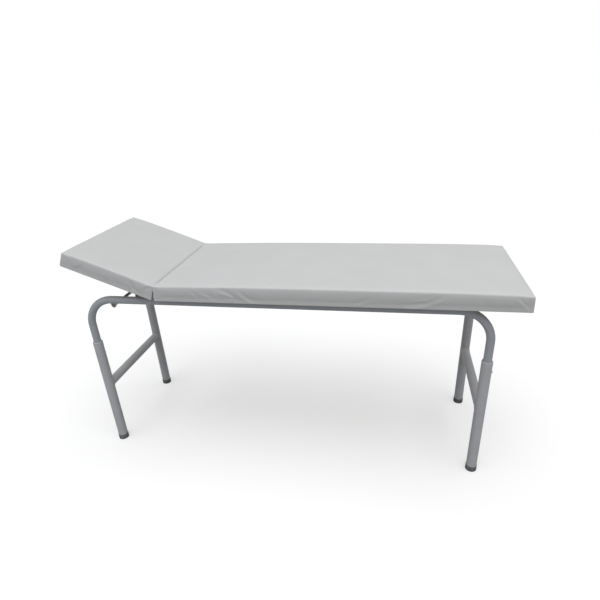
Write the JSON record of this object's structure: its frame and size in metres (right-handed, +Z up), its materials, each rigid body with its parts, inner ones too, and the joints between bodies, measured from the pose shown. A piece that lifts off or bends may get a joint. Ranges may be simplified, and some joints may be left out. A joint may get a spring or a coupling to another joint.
{
  "type": "examination couch",
  "caption": "Examination couch with a bent-tube frame, plug-in legs joined by crossbars, a fixed padded bed and a tilting padded head section held by a notched prop.",
  "frame": {"origin": "on the floor, under the middle of the couch's bounding box", "axes": "+X towards the foot end, +Y towards the left of a patient lying on the back, +Z up"},
  "size_m": [1.7806, 0.57, 0.9435],
  "materials": {
    "vinyl": "light grey embossed upholstery vinyl, soft satin",
    "foam": "open-cell polyurethane foam, matte",
    "plywood": "unfinished plywood",
    "frame_paint": "blue-grey powder coat, semi-gloss",
    "collar_metal": "blue-grey powder coat over a rounded ring",
    "foot_plastic": "moulded grey plastic",
    "rod_paint": "dark blue-grey powder coat",
    "rack_steel": "dark grey-green enamel",
    "zinc_hardware": "zinc-plated steel"
  },
  "bodies": {
    "frame": {"bed_cross_tube_1": "frame_paint", "bed_cross_tube_2": "frame_paint", "bed_cross_tube_3": "frame_paint", "bed_cross_tube_4": "frame_paint", "board_tabs": "frame_paint", "crossbar_foot": "frame_paint", "crossbar_head": "frame_paint", "crossbar_welds": "frame_paint", "foot_cap_foot_left": "foot_plastic", "foot_cap_foot_right": "foot_plastic", "foot_cap_head_left": "foot_plastic", "foot_cap_head_right": "foot_plastic", "head_support_rod": "rod_paint", "hinge_leaf_main_left": "zinc_hardware", "hinge_leaf_main_right": "zinc_hardware", "hinge_pin_left": "zinc_hardware", "hinge_pin_right": "zinc_hardware", "hinge_screws_main": "zinc_hardware", "leg_collars": "collar_metal", "leg_lock_screws": "zinc_hardware", "leg_sleeve_foot_left": "frame_paint", "leg_sleeve_foot_right": "frame_paint", "leg_sleeve_head_left": "frame_paint", "leg_sleeve_head_right": "frame_paint", "main_board": "plywood", "main_board_screws": "zinc_hardware", "main_cover": "vinyl", "main_cover_staples": "zinc_hardware", "main_foam": "foam", "rod_lug_left": "frame_paint", "rod_lug_right": "frame_paint", "side_tube_left": "frame_paint", "side_tube_right": "frame_paint"},
    "head": {"head_board": "plywood", "head_cover": "vinyl", "head_cover_staples": "zinc_hardware", "head_foam": "foam", "hinge_leaf_head_left": "zinc_hardware", "hinge_leaf_head_right": "zinc_hardware", "hinge_screws_head": "zinc_hardware", "rack_bracket": "zinc_hardware", "rack_bracket_screws": "zinc_hardware", "rack_pivot_pin": "zinc_hardware"},
    "rack": {"rack_bar_left": "rack_steel", "rack_bar_right": "rack_steel", "rack_spacer": "zinc_hardware", "rack_tie_rod": "rack_steel"}
  },
  "joints": [
    {"name": "head_tilt", "type": "hinge", "parent": "frame", "child": "head", "pos_m": [-0.51468, 0, 0.7387], "axis": [0, 1, 0], "range_deg": [-20.6, 15.4]},
    {"name": "rack_swing", "type": "hinge", "parent": "head", "child": "rack", "pos_m": [-0.72641, 0, 0.80066], "axis": [0, 1, 0], "range_deg": [-7.72, 10.32]}
  ],
  "couplings": [
    {"joint": "rack_swing", "follows": "head_tilt", "ratio": -0.5}
  ]
}
